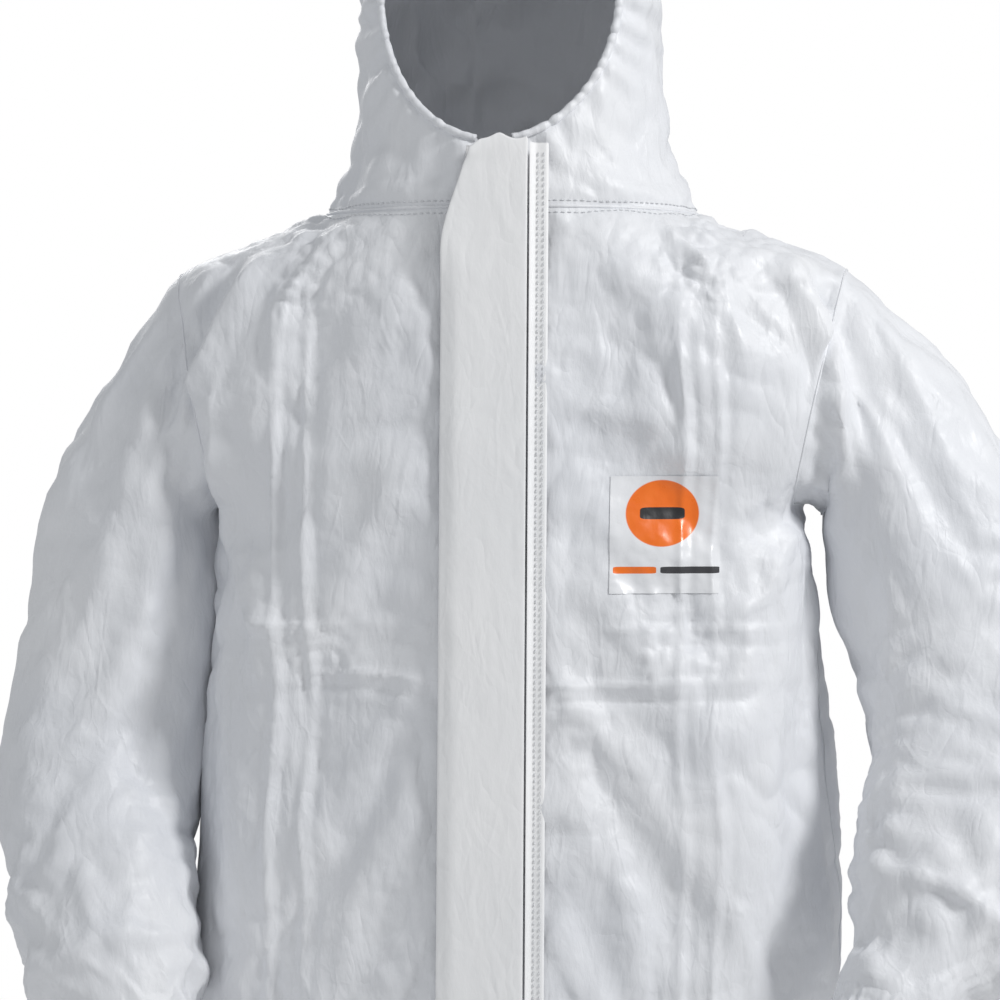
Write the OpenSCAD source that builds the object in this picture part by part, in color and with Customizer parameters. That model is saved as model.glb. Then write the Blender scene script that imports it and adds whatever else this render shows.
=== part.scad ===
// Hooded one-piece protective coverall, as worn. Z is up, the wearer faces -Y and the wearer's left is +X.
// The origin is the middle of the neck seam, which is where the wearer's shoulders carry the suit.

/* [Fabric] */
// Thickness that stands for one layer of laminate film
film_t = 1.5; // [1.2:0.1:2]

/* [Body] */
// Half width of the body at the waist
waist_half_w = 230; // [226:1:236]
// Half width of the neck seam
neck_half_w = 138; // [134:1:142]
// Height from the neck seam down to the crotch
rise = 700; // [690:5:720]

/* [Sleeves] */
// Radius of the elasticated wrist opening
wrist_r = 37; // [34:0.5:40]

/* [Legs] */
// Height from the neck seam down to the ankle hem
suit_drop = 1430; // [1400:5:1460]
// Radius of the elasticated ankle opening
ankle_r = 52; // [46:1:56]

/* [Hood] */
// Height of the crown above the neck seam
crown_h = 335; // [325:1:345]
// Half width of the face opening
face_half_w = 92; // [86:1:96]
// Height of the chin edge of the face opening
chin_z = 50; // [48:1:54]

/* [Front closure] */
// Width of the storm flap
flap_w = 66; // [60:1:70]
// Length of the zip chain
zip_l = 640; // [620:5:650]

/* [Hidden] */

white = [0.94, 0.95, 0.96];
elastic_white = [0.88, 0.88, 0.86];
front_slope = 3;          // lean of the straight centre front, in degrees
chin_y = -118;            // centre front at the top of the zip
tip_x = 262;              // shoulder tip, where the armhole starts
tip_z = -45;
armpit_x = 222;           // lowest point of the armhole
armpit_z = -225;
zip_gap = 12;             // half the gap between the two front panels
seam_gap = 0.2;           // half the gap between panels at a seam
hem_depth = 128;          // half depth of the body where the legs start
zip_end_z = -600;

// ---------- interpolation and grids ----------

function mix(a, b, t) = a + (b - a) * t;

// Smooth value at x of a table of [x, value] rows sorted by rising x
function look(table, x, i = 0) =
    x <= table[0][0] ? table[0][1] :
    i >= len(table) - 1 ? table[len(table) - 1][1] :
    x <= table[i + 1][0] ? cubic(table, i, (x - table[i][0]) / (table[i + 1][0] - table[i][0])) :
    look(table, x, i + 1);

function slope_at(table, i) =
    i == 0 || i == len(table) - 1 ? 0 :
    (table[i + 1][1] - table[i - 1][1]) / (table[i + 1][0] - table[i - 1][0]);

function cubic(table, i, t) =
    let (w = table[i + 1][0] - table[i][0], a = table[i][1], b = table[i + 1][1])
    let (m = slope_at(table, i) * w, n = slope_at(table, i + 1) * w)
    (2 * t^3 - 3 * t^2 + 1) * a + (t^3 - 2 * t^2 + t) * m + (3 * t^2 - 2 * t^3) * b + (t^3 - t^2) * n;

function steps(a, b, n) = [for (i = [0:n]) mix(a, b, i / n)];

function flat(rows) = [for (r = rows) for (p = r) p];

function quad(a, b, c, d) = [[a, b, c], [a, c, d]];

function mirrored(rows) = [for (r = rows) [for (p = r) [-p[0], p[1], p[2]]]];

// A closed skin between two grids of points. Rows run along the first index.
module skin(outer, inner, flip = false) {
    nv = len(outer);
    nu = len(outer[0]);
    n = nv * nu;
    last = nu - 2;
    function at(j, i) = j * nu + i;
    walls = [
        for (j = [0:nv - 2]) for (i = [0:last])
            each concat(
                quad(at(j, i), at(j, i + 1), at(j + 1, i + 1), at(j + 1, i)),
                quad(n + at(j, i), n + at(j + 1, i), n + at(j + 1, i + 1), n + at(j, i + 1)))
    ];
    ends = [
        for (i = [0:last])
            each concat(
                quad(at(0, i + 1), at(0, i), n + at(0, i), n + at(0, i + 1)),
                quad(at(nv - 1, i), at(nv - 1, i + 1), n + at(nv - 1, i + 1), n + at(nv - 1, i)))
    ];
    sides = [
        for (j = [0:nv - 2])
            each concat(
                quad(at(j, 0), at(j + 1, 0), n + at(j + 1, 0), n + at(j, 0)),
                quad(at(j + 1, nu - 1), at(j, nu - 1), n + at(j, nu - 1), n + at(j + 1, nu - 1)))
    ];
    faces = concat(walls, ends, sides);
    polyhedron(concat(flat(outer), flat(inner)), flip ? [for (f = faces) [f[2], f[1], f[0]]] : faces);
}

// ---------- body ----------

body_half_w = [[-rise, waist_half_w], [-580, waist_half_w + 8], [-430, waist_half_w], [-300, armpit_x + 1],
    [armpit_z, armpit_x], [-180, 268], [-135, 286], [-90, 283], [tip_z, tip_x], [-20, 201], [0, neck_half_w]];
body_back_y = [[-rise, hem_depth], [-620, 146], [-540, 152], [-430, 138], [-300, 148], [-180, 146], [-90, 138], [0, 120]];
body_power = [[-rise, 3], [-560, 2.5], [-300, 2.5], [-150, 2.3], [tip_z, 2], [0, 2]];

function line_y(z) = chin_y - (chin_z - z) * tan(front_slope);

// Centre front of the body: straight as far as the zip runs, then curving in to the crotch
function front_y(z) =
    let (t = max(0, (zip_end_z - z) / (rise + zip_end_z)))
    mix(line_y(z), -hem_depth, t * t * (3 - 2 * t));

// Half width of the opening plane: the armhole is where the body is wider than this
function armhole_x(z) = mix(tip_x, armpit_x, (tip_z - z) / (tip_z - armpit_z));

// Last angle of a body panel at height z: the side seam, or the edge of the armhole
function side_angle(z) =
    z >= tip_z || z <= armpit_z ? 90 :
    asin((armhole_x(z) / max(armhole_x(z), look(body_half_w, z))) ^ (look(body_power, z) / 2));

// Point of the body at an angle from the centre line (0) to the side (90), with inset from the outer face
function body_point(a, z, back, inset) =
    let (n = look(body_power, z), e = 2 / n)
    let (w = look(body_half_w, z) - inset, depth = (back ? look(body_back_y, z) : -front_y(z)) - inset)
    [w * sin(a)^e, (back ? 1 : -1) * depth * cos(a)^e, z - inset * (z > tip_z ? 0.9 : 0)];

body_rows = concat(steps(-rise, -300, 8), [-262, armpit_z, -205, -180, -150, -120, -90, -65, tip_z, -30, -15, -2]);

function first_angle(z, edge) = asin((edge / look(body_half_w, z)) ^ (look(body_power, z) / 2));

function body_grid(back, inset) = [for (z = body_rows)
    let (edge = back || z < zip_end_z - 5 ? seam_gap : zip_gap)
    [for (a = steps(first_angle(z, edge), side_angle(z) - (z <= armpit_z || z >= tip_z ? 0.06 : 0), 12))
        body_point(a, z, back, inset)]];

module body_panel(back, left) {
    outer = body_grid(back, 0);
    inner = body_grid(back, film_t);
    color(white)
        skin(left ? outer : mirrored(outer), left ? inner : mirrored(inner), flip = back == left);
}

// Narrow strip under the crotch that joins the front and back of the body
gusset_w = 28;

module crotch_gusset() {
    color(white)
        for (side = [-1, 1])
            hull() {
                translate([-gusset_w / 2, side * (hem_depth - 3) - 1, -rise - 2]) cube([gusset_w, 2, film_t]);
                translate([-gusset_w / 2, -1, -rise - 22]) cube([gusset_w, 2, film_t]);
            }
}

module waist_elastic() {
    z0 = -434;
    grid = function (inset) [for (z = [z0, z0 + 8]) [for (a = steps(2, 80, 20)) body_point(a, z, true, inset)]];
    color(elastic_white)
        for (left = [true, false])
            skin(left ? grid(film_t + 1.6) : mirrored(grid(film_t + 1.6)),
                left ? grid(film_t + 2.8) : mirrored(grid(film_t + 2.8)), flip = left);
}

// ---------- hood ----------

hood_half_w = [[0, neck_half_w], [60, 127], [110, 121], [170, 121]];
hood_half_d = [[0, 120.2], [60, 116.6], [110, 121], [170, 126]];
dome_z = 170;
strip_x = 45;             // half width of the hood's centre panel
face_mid_z = 168;
face_half_h = face_mid_z - chin_z;
brow_angle = 134;         // where the centre panel ends above the face
hood_gap = 2.5;           // clear of the body's neck edge

function dome_scale(z) = z <= dome_z ? 1 : sqrt(max(0, 1 - ((z - dome_z) / (crown_h - dome_z))^2));

function hood_w(z, inset) = (look(hood_half_w, min(z, dome_z)) - inset) * dome_scale(z);
function hood_d(z, inset) = (look(hood_half_d, min(z, dome_z)) - inset) * dome_scale(z);

function face_x(z) = face_half_w * sqrt(max(0, 1 - ((z - face_mid_z) / face_half_h)^2));

function hood_front_x(z) =
    z < chin_z ? zip_gap : z < face_mid_z ? max(face_x(z), zip_gap) : max(face_x(z), strip_x + 1);

// Height at which the side panels are only a little wider than the centre panel
hood_top_z = dome_z + (crown_h - dome_z) * sqrt(1 - ((strip_x + 3) / look(hood_half_w, dome_z))^2);

function hood_rows() = concat([hood_gap, 25, 44, chin_z, 53, 60, 72], steps(90, 250, 6), [262, 271, 280, 292, 303],
    [hood_top_z - 4, hood_top_z]);

function hood_grid(inset) = [for (z = hood_rows())
    let (w = hood_w(z, 0))
    let (a0 = asin(min(1, hood_front_x(z) / w)), a1 = 180 - asin((strip_x + 1) / w))
    [for (a = steps(a0, a1, 14)) [hood_w(z, inset) * sin(a), -hood_d(z, inset) * cos(a), z]]];

module hood_side_panel(left) {
    outer = hood_grid(0);
    inner = hood_grid(film_t);
    color(white)
        skin(left ? outer : mirrored(outer), left ? inner : mirrored(inner), flip = !left);
}

// Meridian of the centre panel at one x: up the back, over the crown and down to the brow
function strip_column(x, inset) =
    let (w = look(hood_half_w, dome_z) - inset, d = look(hood_half_d, dome_z) - inset, h = crown_h - dome_z - inset)
    let (k = sqrt(1 - (x / w)^2))
    concat(
        [for (z = [hood_gap, 40, 80, 125])
            [x, hood_d(z, inset) * sqrt(1 - (x / hood_w(z, inset))^2), z]],
        [for (f = steps(0, brow_angle, 16)) [x, d * k * cos(f), dome_z + h * k * sin(f)]]);

module hood_centre_panel() {
    columns = steps(-strip_x, strip_x, 8);
    color(white)
        skin([for (x = columns) strip_column(x, 0)], [for (x = columns) strip_column(x, film_t)]);
}

// Ring that follows the face opening, a little inside its edge
function face_ring_point(t, shrink, back) =
    let (x = (face_half_w - shrink) * sin(t), z = face_mid_z - (face_half_h - shrink) * cos(t))
    [x, back - hood_d(z, 0) * sqrt(max(0, 1 - (x / hood_w(z, 0))^2)), z];

module face_ring(shrink, back, r) {
    n = 56;
    sides = 6;
    function along(t) = unit(face_ring_point(t + 1, shrink, back) - face_ring_point(t - 1, shrink, back));
    ring = function (r) [for (i = [0:n - 1])
        let (t = 360 * i / n, c = face_ring_point(t, shrink, back), f = along(t))
        let (u = unit(cross(f, [0, 1, 0])), v = cross(f, u))
        [for (k = [0:sides - 1]) c + r * (u * cos(60 * k) + v * sin(60 * k))]];
    rows = ring(r);
    function at(j, i) = (j % n) * sides + i % sides;
    polyhedron(flat(rows), [for (j = [0:n - 1]) for (i = [0:sides - 1])
        each quad(at(j, i), at(j + 1, i), at(j + 1, i + 1), at(j, i + 1))]);
}

module face_hem() color(white) face_ring(3.2, 0.75, 2.2);

module face_elastic() color(elastic_white) face_ring(3.2, 5.6, 1.4);

// ---------- sleeves ----------

// Centre line of each sleeve from the armhole to the wrist, for a sleeve on the +X side
left_arm = [[242, 0, -135], [303, 4, -174], [338, 6, -245], [373, 0, -315], [390, -24, -385], [374, -66, -458],
    [338, -110, -530], [296, -154, -600]];
right_arm = [[242, 0, -135], [298, 4, -202], [306, 6, -260], [320, 0, -345], [331, -22, -430], [317, -66, -508],
    [291, -114, -582], [260, -162, -650]];
arm_r = [92, 70, 79, 81, 82, 78, 70, wrist_r + 5];
arm_depth = [66, 74, 79, 82, 82, 78, 70, wrist_r + 5];
sleeve_gap = 5;           // clear of the armhole over the whole swing
wrist_hem_l = 26;
plane_u = unit([tip_x - armpit_x, 0, tip_z - armpit_z]);

function unit(v) = v / norm(v);

function arm_tangent(arm, i) =
    i == 0 ? unit(cross([0, 1, 0], plane_u)) :
    i == len(arm) - 1 ? unit(arm[i] - arm[i - 1]) :
    unit(unit(arm[i + 1] - arm[i]) + unit(arm[i] - arm[i - 1]));

// Half a ring of the sleeve, between the underarm seam (angle 0) and the outer seam (180)
function sleeve_ring(arm, i, inset, back) =
    let (f = arm_tangent(arm, i), v = unit([0, 1, 0] - f * f[1]), u = cross(f, v) * -1)
    let (c = arm[i] + (i == 0 ? f * sleeve_gap : [0, 0, 0]))
    [for (a = steps(back ? 0.1 : 180.1, back ? 179.9 : 359.9, 12)) c + u * (arm_r[i] - inset) * cos(a) + v * (arm_depth[i] - inset) * sin(a)];

// Rings between the given ones, blended with a smooth curve
function sleeve_rows(arm, inset, back) =
    let (rings = [for (i = [0:len(arm) - 1]) sleeve_ring(arm, i, inset, back)])
    concat([for (i = [0:len(arm) - 2]) each [rings[i], half_ring(rings, i)]], [rings[len(arm) - 1]]);

function half_ring(rings, i) =
    [for (k = [0:len(rings[0]) - 1])
        let (a = rings[max(i - 1, 0)][k], b = rings[i][k], c = rings[i + 1][k])
        let (d = rings[min(i + 2, len(rings) - 1)][k])
        (b + c) * 0.5625 - (a + d) * 0.0625];

module sleeve_panel(arm, back, left) {
    outer = sleeve_rows(arm, 0, back);
    inner = sleeve_rows(arm, film_t, back);
    color(white)
        skin(left ? outer : mirrored(outer), left ? inner : mirrored(inner), flip = left);
}

// Places children with +Z pointing out of the wrist, at the end of the sleeve
module at_wrist(arm, left) {
    f = arm_tangent(arm, len(arm) - 1);
    d = left ? f : [-f[0], f[1], f[2]];
    e = arm[len(arm) - 1];
    translate([left ? e[0] : -e[0], e[1], e[2]])
        rotate([0, acos(d[2]), atan2(d[1], d[0])])
            children();
}

module band(inner_r, outer_r, from, to) {
    translate([0, 0, from])
        difference() {
            cylinder(r = outer_r, h = to - from, $fn = 96);
            translate([0, 0, -1]) cylinder(r = inner_r, h = to - from + 2, $fn = 96);
        }
}

module wrist_hem(arm, left)
    color(white) at_wrist(arm, left) band(wrist_r + 3, wrist_r + 3 + film_t, 0.5, wrist_hem_l);

module wrist_elastic(arm, left)
    color(elastic_white) at_wrist(arm, left) band(wrist_r, wrist_r + 2.6, 8, 18);

// ---------- legs ----------

leg_mid_x = [[-suit_drop, 128], [-1050, 124], [-rise, 124]];
leg_half_w = [[-suit_drop + 28, ankle_r + 5], [-1340, 77], [-1180, 86], [-1050, 91], [-850, 96], [-rise, 96]];
leg_half_d = [[-suit_drop + 28, ankle_r + 5], [-1340, 78], [-1180, 90], [-1050, 97], [-850, 108], [-rise, 110]];
leg_mid_y = [[-suit_drop + 28, 14], [-1180, 10], [-1050, 2], [-rise, 0]];
leg_top = -rise - 6;
leg_end = -suit_drop + 28;
leg_rows = steps(leg_end, leg_top, 14);

function leg_grid(back, inset) = [for (z = leg_rows)
    [for (a = steps(back ? 0.1 : 180.1, back ? 179.9 : 359.9, 16))
        [look(leg_mid_x, z) + (look(leg_half_w, z) - inset) * cos(a),
            look(leg_mid_y, z) + (look(leg_half_d, z) - inset) * sin(a), z]]];

module leg_panel(back, left) {
    outer = leg_grid(back, 0);
    inner = leg_grid(back, film_t);
    color(white)
        skin(left ? outer : mirrored(outer), left ? inner : mirrored(inner), flip = !left);
}

module at_ankle(left) {
    translate([(left ? 1 : -1) * look(leg_mid_x, leg_end), look(leg_mid_y, leg_end), -suit_drop]) children();
}

module ankle_hem(left) color(white) at_ankle(left) band(ankle_r + 3, ankle_r + 3 + film_t, 0, 27.5);

module ankle_elastic(left) color(elastic_white) at_ankle(left) band(ankle_r, ankle_r + 2.6, 8, 20);

// ---------- front closure, in a frame with its origin at the top of the zip, +Z up along it and -Y outwards ----------

flap_hinge_x = 27;
flap_y = -8.8;            // inner face of the flap
flap_t = 1.2;
chain_in = 0.9;           // half the slot between the two rows of teeth
chain_out = 3.4;
chain_y = [-1.8, 0.6];
tape_y = [-1, -0.2];
plate_y = [[-4, -2.4], [1.2, 2.6]];   // the slider's front and back plates
slider_l = 15;
slider_w = 5.4;
pivot_end_y = -7;
pivot_z = 2.5;            // above the middle of the slider
slider_mid_z = -slider_l / 2;

module zip_frame() {
    translate([0, line_y(chin_z - 10), chin_z - 10]) rotate([-front_slope, 0, 0]) children();
}

module between(x, y, z) {
    translate([x[0], y[0], z[0]]) cube([x[1] - x[0], y[1] - y[0], z[1] - z[0]]);
}

module zip_tape(side)
    color("white") zip_frame() scale([side, 1, 1]) between([chain_out + 0.1, 21], tape_y, [-zip_l, 6]);

module zip_chain(side)
    color("gainsboro") zip_frame() for (z = [-zip_l + 14:5:-slider_l])
        translate([side * (chain_in + chain_out) / 2, 0, 0])
            between([-1.25, 1.25], chain_y, [z, z + 4.6]);

module zip_top_stops()
    color("gainsboro") zip_frame() for (side = [-1, 1])
        translate([side * 2.2, 0, 0]) between([-1.1, 1.1], chain_y, [1.7, 5.5]);

module zip_bottom_stop()
    color("gainsboro") zip_frame() between([-3.3, 3.3], chain_y, [-zip_l + 3, -zip_l + 13]);

module zip_slider() {
    half_l = [-slider_l / 2, slider_l / 2];
    color("whitesmoke") zip_frame() translate([0, 0, slider_mid_z]) {
        for (y = plate_y)
            between([-slider_w, slider_w], y, half_l);
        between([-0.7, 0.7], [plate_y[0][1] - 0.1, plate_y[1][0] + 0.1], [slider_l / 2 - 4, slider_l / 2]);
        for (side = [-1, 1])
            for (y = [[plate_y[0][1] - 0.1, tape_y[0] - 0.3], [tape_y[1] + 0.3, plate_y[1][0] + 0.1]])
                translate([side * 4.6, 0, 0]) between([-0.8, 0.8], y, half_l);
        translate([0, plate_y[0][0] + 0.1, pivot_z]) rotate([90, 0, 0])
            cylinder(r = 1.6, h = plate_y[0][0] - pivot_end_y + 0.1, $fn = 48);
        translate([0, pivot_end_y + 0.8, pivot_z]) rotate([90, 0, 0]) cylinder(r = 2.7, h = 0.8, $fn = 48);
    }
}

module zip_pull_tab() {
    tab_l = 26;
    tab_r = 3.6;
    tab_t = 1.2;
    color("whitesmoke") zip_frame() translate([0, plate_y[0][0] - 0.4, slider_mid_z + pivot_z]) rotate([90, 0, 0])
        difference() {
            union() {
                cylinder(r = tab_r, h = tab_t, $fn = 48);
                translate([-tab_r, -tab_l, 0]) cube([2 * tab_r, tab_l, tab_t]);
                translate([0, -tab_l, 0]) cylinder(r = tab_r, h = tab_t, $fn = 48);
            }
            translate([0, 0, -1]) cylinder(r = 1.68, h = 4, $fn = 48);
            translate([0, -tab_l, -1]) cylinder(r = 1.4, h = 4, $fn = 48);
        }
}

flap_top_z = 15;
flap_end_z = -zip_l - 12;
flap_corner_r = 11;

module storm_flap()
    color("white") zip_frame()
        difference() {
            between([flap_hinge_x - flap_w, flap_hinge_x], [flap_y - flap_t, flap_y], [flap_end_z, flap_top_z]);
            translate([flap_hinge_x - flap_w + flap_corner_r, flap_y + 1, flap_top_z - flap_corner_r])
                rotate([90, 0, 0])
                    difference() {
                        translate([-flap_corner_r - 1, 0, 0]) cube([flap_corner_r + 1, flap_corner_r + 1, 4]);
                        translate([0, 0, -1]) cylinder(r = flap_corner_r, h = 6, $fn = 64);
                    }
        }

module flap_tape()
    color("lightgrey") zip_frame()
        between([flap_hinge_x - flap_w + 3, flap_hinge_x - flap_w + 15], [flap_y + 0.1, flap_y + 0.5], [-zip_l, 0]);

module flap_facing()
    color("white") zip_frame() {
        between([flap_hinge_x + 1.6, 42], [-1.6, -0.5], [flap_end_z, -44]);
        between([flap_hinge_x + 1.6, flap_hinge_x + 2.8], [flap_y + 1.4, -0.5], [flap_end_z, -44]);
    }

// ---------- labels ----------

module chest_patch() {
    z_mid = -247;
    rows = steps(z_mid - 44, z_mid + 44, 4);
    function angle_at(x, z) = asin((x / look(body_half_w, z)) ^ (look(body_power, z) / 2));
    grid = function (inset) [for (z = rows) [for (x = steps(88, 168, 6)) body_point(angle_at(x, z), z, false, inset)]];
    color("darkorange") skin(grid(-1.8), grid(-1), flip = false);
}

module size_label()
    color("white") translate([-18, 113.5, -48]) cube([36, 0.8, 44]);

body_panel(false, true);  // front_left_panel
body_panel(false, false);  // front_right_panel
body_panel(true, true);  // back_left_panel
body_panel(true, false);  // back_right_panel
crotch_gusset();
hood_side_panel(true);  // hood_left_panel
hood_side_panel(false);  // hood_right_panel
hood_centre_panel();
face_hem();
face_elastic();
sleeve_panel(left_arm, false, true);  // sleeve_left_front_panel
sleeve_panel(left_arm, true, true);  // sleeve_left_back_panel
sleeve_panel(right_arm, false, false);  // sleeve_right_front_panel
sleeve_panel(right_arm, true, false);  // sleeve_right_back_panel
wrist_hem(left_arm, true);  // wrist_hem_left
wrist_hem(right_arm, false);  // wrist_hem_right
wrist_elastic(left_arm, true);  // wrist_elastic_left
wrist_elastic(right_arm, false);  // wrist_elastic_right
leg_panel(false, true);  // leg_left_front_panel
leg_panel(true, true);  // leg_left_back_panel
leg_panel(false, false);  // leg_right_front_panel
leg_panel(true, false);  // leg_right_back_panel
ankle_hem(true);  // ankle_hem_left
ankle_hem(false);  // ankle_hem_right
ankle_elastic(true);  // ankle_elastic_left
ankle_elastic(false);  // ankle_elastic_right
waist_elastic();
storm_flap();
flap_tape();
flap_facing();
zip_tape(1);  // zip_tape_left
zip_tape(-1);  // zip_tape_right
zip_chain(1);  // zip_chain_left
zip_chain(-1);  // zip_chain_right
zip_slider();
zip_pull_tab();
zip_top_stops();
zip_bottom_stop();
chest_patch();
size_label();
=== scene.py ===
"""Hooded protective coverall in white film laminate.

Lengths in the shape tables are millimetres, in the CAD's frame.
"""
from math import copysign, cos, pi, radians, sin, sqrt, tan

import bmesh
import bpy
import numpy as np
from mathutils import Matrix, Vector, noise
from mathutils.bvhtree import BVHTree
from mathutils.kdtree import KDTree


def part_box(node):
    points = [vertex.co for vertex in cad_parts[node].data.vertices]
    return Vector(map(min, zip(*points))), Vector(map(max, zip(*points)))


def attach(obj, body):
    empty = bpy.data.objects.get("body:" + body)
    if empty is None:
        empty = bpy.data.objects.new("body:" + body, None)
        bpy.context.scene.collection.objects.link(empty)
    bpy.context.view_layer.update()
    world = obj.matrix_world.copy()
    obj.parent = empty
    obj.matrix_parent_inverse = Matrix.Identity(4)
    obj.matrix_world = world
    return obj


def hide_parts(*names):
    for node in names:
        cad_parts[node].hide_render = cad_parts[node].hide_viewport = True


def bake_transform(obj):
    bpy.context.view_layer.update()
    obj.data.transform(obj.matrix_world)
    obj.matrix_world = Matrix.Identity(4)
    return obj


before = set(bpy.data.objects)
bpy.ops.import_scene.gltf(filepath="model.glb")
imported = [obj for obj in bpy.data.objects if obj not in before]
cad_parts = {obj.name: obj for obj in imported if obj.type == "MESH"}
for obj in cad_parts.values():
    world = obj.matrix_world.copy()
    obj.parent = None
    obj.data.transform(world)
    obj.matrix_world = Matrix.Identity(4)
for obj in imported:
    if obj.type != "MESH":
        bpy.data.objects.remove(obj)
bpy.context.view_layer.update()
scene = bpy.context.scene
MM = 0.001

# ---------- the garment's form, from the CAD's tables ----------

FRONT_SLOPE = tan(radians(3))
CHIN_Y, CHIN_Z = -118, 50
ZIP_END_Z = -600
TIP, ARMPIT = (262, -45), (222, -225)
BODY_W = [(-700, 230), (-580, 238), (-430, 230), (-300, 223), (-225, 222), (-180, 268), (-135, 286), (-90, 283),
          (-45, 262), (-20, 201), (0, 138)]
BODY_BACK = [(-700, 128), (-620, 146), (-540, 152), (-430, 138), (-300, 148), (-180, 146), (-90, 138), (0, 120)]
BODY_POWER = [(-700, 3), (-560, 2.5), (-300, 2.5), (-150, 2.3), (-45, 2), (0, 2)]
HOOD_W = [(0, 138), (60, 127), (110, 121), (170, 121)]
HOOD_D = [(0, 120.2), (60, 116.6), (110, 121), (170, 126)]
DOME_Z, CROWN_Z = 170, 335
FACE_W, FACE_Z, FACE_H = 92, 168, 118
LEFT_ARM = [(242, 0, -135), (303, 4, -174), (340, 6, -245), (373, 0, -315), (390, -24, -385), (374, -66, -458),
            (338, -110, -530), (296, -154, -600)]
RIGHT_ARM = [(242, 0, -135), (298, 4, -202), (306, 6, -260), (320, 0, -345), (331, -22, -430), (317, -66, -508),
             (291, -114, -582), (260, -162, -650)]
ARM_R = [92, 70, 79, 81, 82, 78, 70, 42]
ARM_D = [66, 74, 79, 82, 82, 78, 70, 42]
LEG_X = [(-1430, 128), (-1050, 124), (-700, 124)]
LEG_W = [(-1402, 57), (-1340, 77), (-1180, 86), (-1050, 91), (-850, 98), (-700, 104)]
LEG_D = [(-1402, 57), (-1340, 78), (-1180, 90), (-1050, 97), (-850, 112), (-700, 124)]
LEG_Y = [(-1402, 14), (-1180, 10), (-1050, 2), (-700, 0)]
LEG_TOP_Z, LEG_END_Z, SUIT_END_Z = -704, -1402, -1430


def look(table, x):
    """Smooth value at x of a table of (x, value) rows."""
    if x <= table[0][0]:
        return table[0][1]
    if x >= table[-1][0]:
        return table[-1][1]
    i = next(k for k in range(len(table) - 1) if x <= table[k + 1][0])
    slope = lambda k: 0 if k in (0, len(table) - 1) else (
        (table[k + 1][1] - table[k - 1][1]) / (table[k + 1][0] - table[k - 1][0]))
    (x0, a), (x1, b) = table[i], table[i + 1]
    w = x1 - x0
    t = (x - x0) / w
    return ((2 * t**3 - 3 * t**2 + 1) * a + (t**3 - 2 * t**2 + t) * slope(i) * w
            + (3 * t**2 - 2 * t**3) * b + (t**3 - t**2) * slope(i + 1) * w)


def smooth(t):
    t = np.clip(t, 0, 1)
    return t * t * (3 - 2 * t)


def line_y(z):
    return CHIN_Y - (CHIN_Z - z) * FRONT_SLOPE


def front_y(z):
    s = float(smooth((ZIP_END_Z - z) / 100))
    return line_y(z) * (1 - s) - 128 * s


def unit(v):
    v = np.array(v, float)
    return v / max(np.linalg.norm(v), 1e-9)


PLANE_U = unit((TIP[0] - ARMPIT[0], 0, TIP[1] - ARMPIT[1]))
PLANE_N = unit(np.cross((0, 1, 0), PLANE_U))       # out of the armhole, on the +X side


def body_ring(z, n=160):
    e = 2 / look(BODY_POWER, z)
    w, front, back = look(BODY_W, z), -front_y(z), look(BODY_BACK, z)
    power = lambda v: copysign(abs(v) ** e, v)
    return [(w * power(sin(a)), -(front if cos(a) > 0 else back) * power(cos(a)), z)
            for a in np.linspace(0, 2 * pi, n, endpoint=False)]


def hood_ring(z, n=96):
    s = 1 if z <= DOME_Z else sqrt(max(1e-4, 1 - ((z - DOME_Z) / (CROWN_Z - DOME_Z)) ** 2))
    w, d = look(HOOD_W, min(z, DOME_Z)) * s, look(HOOD_D, min(z, DOME_Z)) * s
    return [(w * sin(a), -d * cos(a), z) for a in np.linspace(0, 2 * pi, n, endpoint=False)]


def leg_ring(z, side, n=72):
    return [(side * (look(LEG_X, z) + look(LEG_W, z) * cos(a)), look(LEG_Y, z) + look(LEG_D, z) * sin(a), z)
            for a in np.linspace(0, 2 * pi, n, endpoint=False)]


def arm_rings(arm, n):
    """The CAD's rings round one sleeve, from the armhole (first) to the wrist. Angle 0 is the outer seam."""
    pts = np.array(arm, float)
    rings = []
    for i in range(len(pts)):
        if i == 0:
            f = PLANE_N
        elif i == len(pts) - 1:
            f = unit(pts[i] - pts[i - 1])
        else:
            f = unit(unit(pts[i + 1] - pts[i]) + unit(pts[i] - pts[i - 1]))
        v = unit(np.array((0, 1, 0)) - f * f[1])
        u = -np.cross(f, v)
        a = np.linspace(0, 2 * pi, n, endpoint=False)[:, None]
        rings.append(pts[i] + u * ARM_R[i] * np.cos(a) + v * ARM_D[i] * np.sin(a))
    return rings


def through(rings, sub):
    """Rings between the given ones, on a smooth curve."""
    r = [2 * rings[0] - rings[1]] + list(rings) + [2 * rings[-1] - rings[-2]]
    out = []
    for i in range(1, len(r) - 2):
        for t in np.linspace(0, 1, sub, endpoint=False):
            a, b, c, d = r[i - 1:i + 3]
            out.append(0.5 * (2 * b + (c - a) * t + (2 * a - 5 * b + 4 * c - d) * t**2
                              + (3 * b - a - 3 * c + d) * t**3))
    return out + [r[-2]]


# ---------- mesh helpers ----------

def new_object(name, mesh):
    o = bpy.data.objects.new(name, mesh)
    scene.collection.objects.link(o)
    return o


def loft(name, rings, caps=True):
    bm = bmesh.new()
    rows = [[bm.verts.new(Vector(p) * MM) for p in ring] for ring in rings]
    n = len(rows[0])
    for a, b in zip(rows, rows[1:]):
        for i in range(n):
            bm.faces.new((a[i], a[(i + 1) % n], b[(i + 1) % n], b[i]))
    if caps:
        bm.faces.new(rows[0][::-1])
        bm.faces.new(rows[-1])
    bmesh.ops.recalc_face_normals(bm, faces=bm.faces)
    mesh = bpy.data.meshes.new(name)
    bm.to_mesh(mesh)
    bm.free()
    return new_object(name, mesh)


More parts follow.
